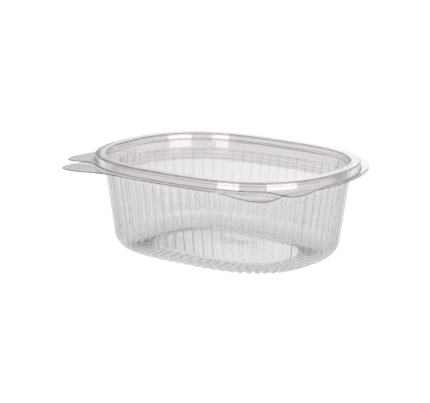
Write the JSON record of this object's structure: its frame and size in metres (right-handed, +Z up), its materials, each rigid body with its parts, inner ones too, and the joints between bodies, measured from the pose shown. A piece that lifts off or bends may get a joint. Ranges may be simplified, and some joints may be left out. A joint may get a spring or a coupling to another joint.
{
  "type": "takeaway meal container",
  "caption": "Clear oval food container with fluted tub walls, a ring of ribbed feet and a recessed lid hinged along the back, with finger tabs at the front corners.",
  "frame": {"origin": "centre of the footprint, on the plane that the flutes' feet stand on", "axes": "+Z up, +X along the long side to the right, -Y towards the front with the finger tabs, +Y towards the hinge"},
  "size_m": [0.1908, 0.1552, 0.0663],
  "materials": {
    "clear_tub": "clear glossy formed plastic sheet",
    "clear_lid": "clear glossy formed plastic sheet"
  },
  "bodies": {
    "tub": {"tub": "clear_tub"},
    "lid": {"lid": "clear_lid"}
  },
  "joints": [
    {"name": "lid_hinge", "type": "hinge", "parent": "tub", "child": "lid", "pos_m": [0, 0.07775, 0.06017], "axis": [-1, 0, 0], "range_deg": [0, 180]}
  ]
}
